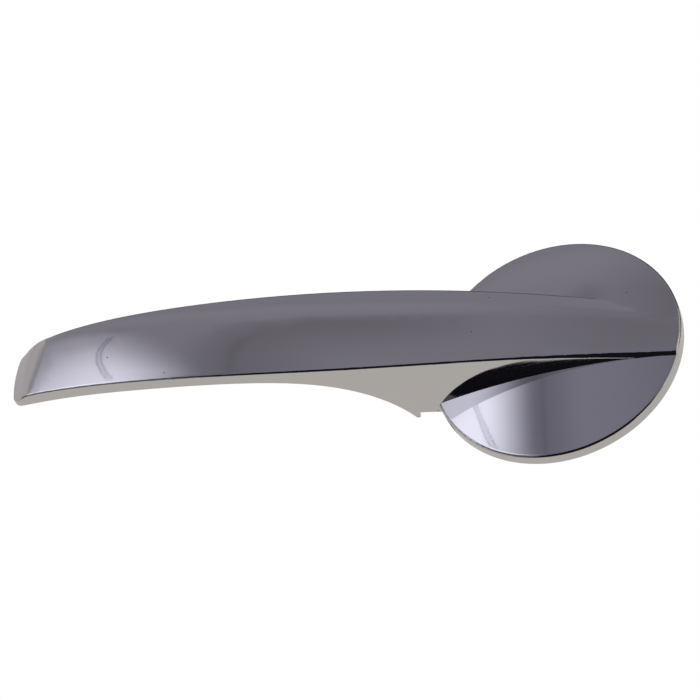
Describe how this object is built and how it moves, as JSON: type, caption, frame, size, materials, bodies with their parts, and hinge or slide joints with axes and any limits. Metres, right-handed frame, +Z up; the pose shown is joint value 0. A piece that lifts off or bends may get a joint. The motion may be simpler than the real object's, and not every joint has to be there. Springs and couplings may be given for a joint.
{
  "type": "car interior door handle",
  "caption": "Chrome-plated die-cast interior door lever: a tapering curved blade that grows out of a domed round boss, with a hub and square socket behind for the latch spindle.",
  "frame": {"origin": "on the spindle axis, in the plane of the boss's back seating ring", "axes": "+Y along the spindle axis out of the socket, into the door; -X along the lever towards its tip; +Z up on the door"},
  "size_m": [0.138, 0.0399, 0.054],
  "materials": {
    "chrome_plate": "polished bright chrome plate on a zinc die casting, with a few tiny pits"
  },
  "bodies": {
    "root": {"door_handle": "chrome_plate"}
  },
  "joints": []
}
